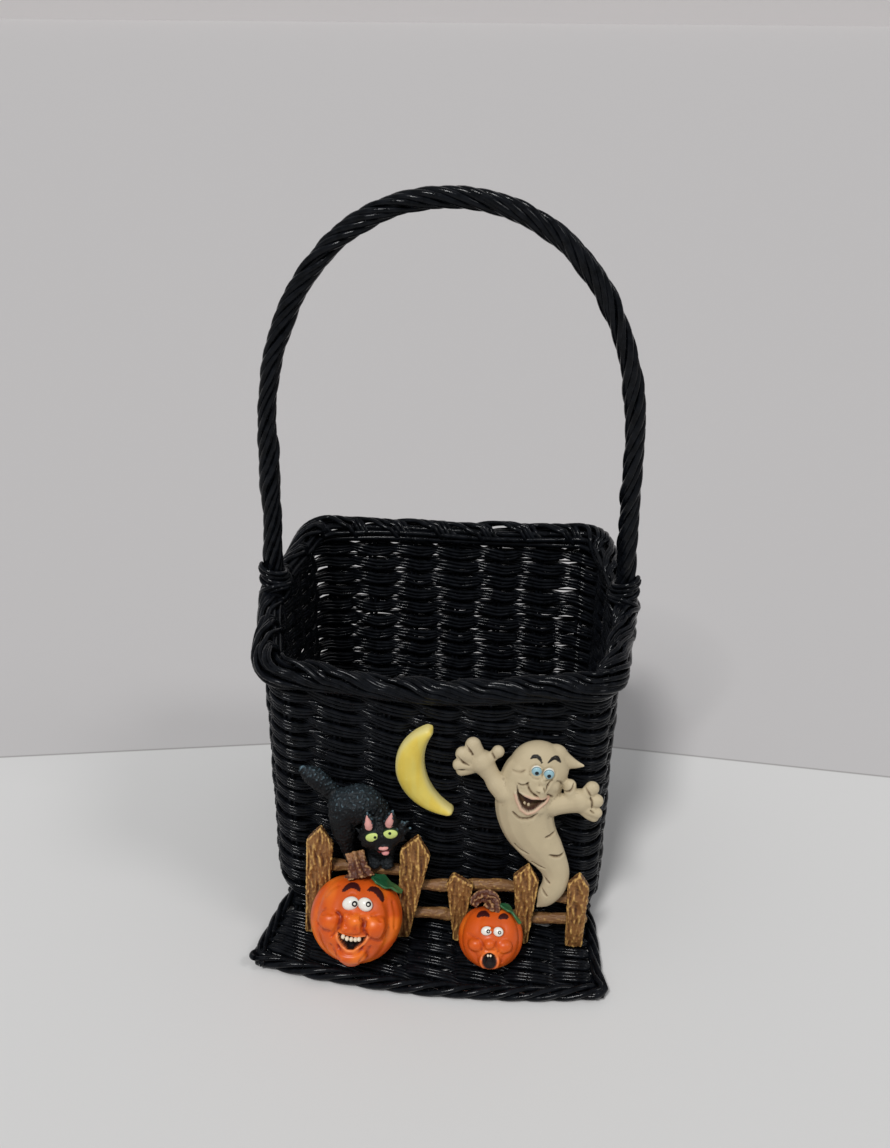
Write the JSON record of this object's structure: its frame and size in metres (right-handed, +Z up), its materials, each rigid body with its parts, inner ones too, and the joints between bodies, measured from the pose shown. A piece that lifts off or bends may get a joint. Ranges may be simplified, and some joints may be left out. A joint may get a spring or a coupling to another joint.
{
  "type": "wicker halloween basket",
  "caption": "Small black wicker basket with a fixed hoop handle and a woven front ledge, where a fence, pumpkins, a cat, a ghost and a moon stand.",
  "frame": {"origin": "on the floor, under the middle of the woven box, in the bottom face of its floor", "axes": "+Z up along the handle, -Y towards the front ledge, +X to the right seen from the front"},
  "size_m": [0.2414, 0.248, 0.4354],
  "materials": {
    "black_cane": "gloss black paint over woven cane",
    "fence_wood": "cast resin painted golden brown with a dark wash in the grain",
    "pumpkin_paint": "cast resin, satin orange paint",
    "stem_paint": "cast resin, maroon brown with cream dry brushing",
    "leaf_paint": "cast resin, dark green paint",
    "cat_paint": "cast resin, black paint with blue grey dry brushing",
    "ghost_paint": "cast resin, matt bone paint with a brown wash in the creases",
    "moon_paint": "cast resin, yellow paint with pale edges"
  },
  "bodies": {
    "root": {"base_mat": "black_cane", "ledge_mat": "black_cane", "ledge_border": "black_cane", "base_stick_1": "black_cane", "base_stick_2": "black_cane", "base_stick_3": "black_cane", "base_stick_4": "black_cane", "base_stick_5": "black_cane", "base_stick_6": "black_cane", "base_stick_7": "black_cane", "side_weave": "black_cane", "stake_01": "black_cane", "stake_02": "black_cane", "stake_03": "black_cane", "stake_04": "black_cane", "stake_05": "black_cane", "stake_06": "black_cane", "stake_08": "black_cane", "stake_09": "black_cane", "stake_10": "black_cane", "stake_11": "black_cane", "stake_12": "black_cane", "stake_13": "black_cane", "stake_14": "black_cane", "stake_15": "black_cane", "stake_16": "black_cane", "stake_17": "black_cane", "stake_18": "black_cane", "stake_20": "black_cane", "stake_21": "black_cane", "stake_22": "black_cane", "stake_23": "black_cane", "stake_24": "black_cane", "rim_border": "black_cane", "handle_core": "black_cane", "handle_rope": "black_cane", "lashing_left": "black_cane", "lashing_right": "black_cane", "picket_1": "fence_wood", "picket_2": "fence_wood", "picket_3": "fence_wood", "picket_4": "fence_wood", "picket_5": "fence_wood", "upper_rail": "fence_wood", "lower_rail": "fence_wood", "cat_rail": "fence_wood", "big_pumpkin": "pumpkin_paint", "small_pumpkin": "pumpkin_paint", "big_stem": "stem_paint", "small_stem": "stem_paint", "big_leaf": "leaf_paint", "small_leaf": "leaf_paint", "cat": "cat_paint", "ghost": "ghost_paint", "moon": "moon_paint"}
  },
  "joints": []
}
